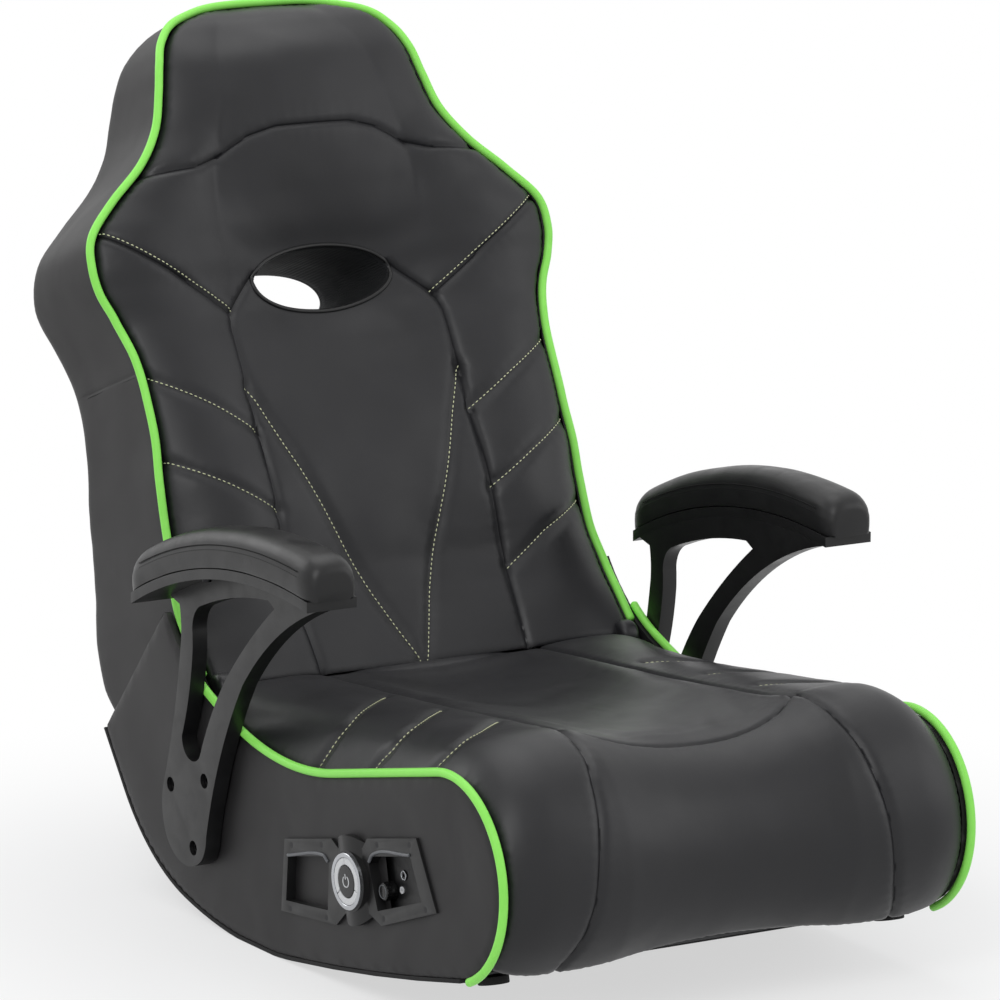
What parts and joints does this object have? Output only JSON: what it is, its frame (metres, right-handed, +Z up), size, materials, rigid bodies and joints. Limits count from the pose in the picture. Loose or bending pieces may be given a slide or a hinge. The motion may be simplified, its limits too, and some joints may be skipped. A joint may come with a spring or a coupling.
{
  "type": "gaming floor rocker chair",
  "caption": "Legless padded chair on a curved sole, with a folding high back, a neck opening, looped armrests and a side control panel.",
  "frame": {"origin": "on the floor under the middle of the chair", "axes": "+X to the sitter's left, +Y to the rear, +Z up; the chair is drawn as it rests on its curved sole"},
  "size_m": [0.637, 0.998, 0.8697],
  "materials": {
    "upholstery": "smooth faux leather over foam",
    "cover": "smooth faux leather stretched on board",
    "piping": "bright piping, satin",
    "mesh": "ribbed mesh",
    "board": "bare plywood",
    "steel": "black zinc",
    "driver": "black pressed basket",
    "plastic": "fine satin moulding",
    "circuit": "circuit board",
    "jack": "moulded socket",
    "button": "translucent white",
    "bright_ring": "polished ring",
    "rubber": "black rubber"
  },
  "bodies": {
    "base": {"amplifier_board": "circuit", "arm_bolts": "steel", "arm_frame_left": "plastic", "arm_frame_right": "plastic", "arm_pad_left": "upholstery", "arm_pad_right": "upholstery", "arm_pad_screws": "steel", "arm_tee_nuts": "steel", "arm_tray_left": "plastic", "arm_tray_right": "plastic", "audio_jacks": "jack", "bass_box": "board", "bass_driver": "driver", "control_box": "plastic", "control_panel": "plastic", "data_port": "jack", "front_board": "board", "front_feet": "rubber", "hinge_bracket_left": "steel", "hinge_bracket_right": "steel", "hinge_pins": "steel", "light_ring": "button", "panel_screws": "steel", "rear_deck": "board", "rest_stops": "rubber", "ring_bezel": "bright_ring", "rocker_strip_left": "rubber", "rocker_strip_right": "rubber", "seat_bolster_left": "upholstery", "seat_bolster_right": "upholstery", "seat_centre_pad": "upholstery", "seat_deck": "board", "seat_frame": "steel", "seat_piping_left": "piping", "seat_piping_right": "piping", "side_board_left": "board", "side_board_right": "board", "side_cover_left": "cover", "side_cover_right": "cover", "sole_board": "board", "sole_cover": "cover"},
    "back": {"headrest_pad": "upholstery", "back_centre_pad": "upholstery", "back_bolster_left": "upholstery", "back_bolster_right": "upholstery", "back_rear_shell": "cover", "neck_collar": "mesh", "back_piping": "piping", "back_frame": "steel", "back_crossbars": "steel", "lumbar_board": "board", "hinge_arm_left": "steel", "hinge_arm_right": "steel", "speaker_left": "driver", "speaker_right": "driver"},
    "ring_button_rear": {"ring_button_rear": "button"},
    "ring_button_lower": {"ring_button_lower": "button"},
    "ring_button_front": {"ring_button_front": "button"},
    "power_button": {"power_button": "plastic"},
    "volume_knob": {"volume_knob": "plastic"}
  },
  "joints": [
    {"name": "back_fold", "type": "hinge", "parent": "base", "child": "back", "pos_m": [0, 0.09314, 0.23556], "axis": [1, 0, 0], "range_deg": [0, 100]},
    {"name": "button_rear_press", "type": "slide", "parent": "base", "child": "ring_button_rear", "axis": [1, 0, 0], "range_m": [0, 0.0012], "stiffness_N_per_m": 200, "springref_m": -0.001},
    {"name": "button_lower_press", "type": "slide", "parent": "base", "child": "ring_button_lower", "axis": [1, 0, 0], "range_m": [0, 0.0012], "stiffness_N_per_m": 200, "springref_m": -0.001},
    {"name": "button_front_press", "type": "slide", "parent": "base", "child": "ring_button_front", "axis": [1, 0, 0], "range_m": [0, 0.0012], "stiffness_N_per_m": 200, "springref_m": -0.001},
    {"name": "power_button_press", "type": "slide", "parent": "base", "child": "power_button", "axis": [1, 0, 0], "range_m": [0, 0.0012], "stiffness_N_per_m": 200, "springref_m": -0.001},
    {"name": "volume_turn", "type": "hinge", "parent": "base", "child": "volume_knob", "pos_m": [-0.259, -0.26867, 0.1136], "axis": [1, 0, 0], "range_deg": [-140, 140]}
  ]
}
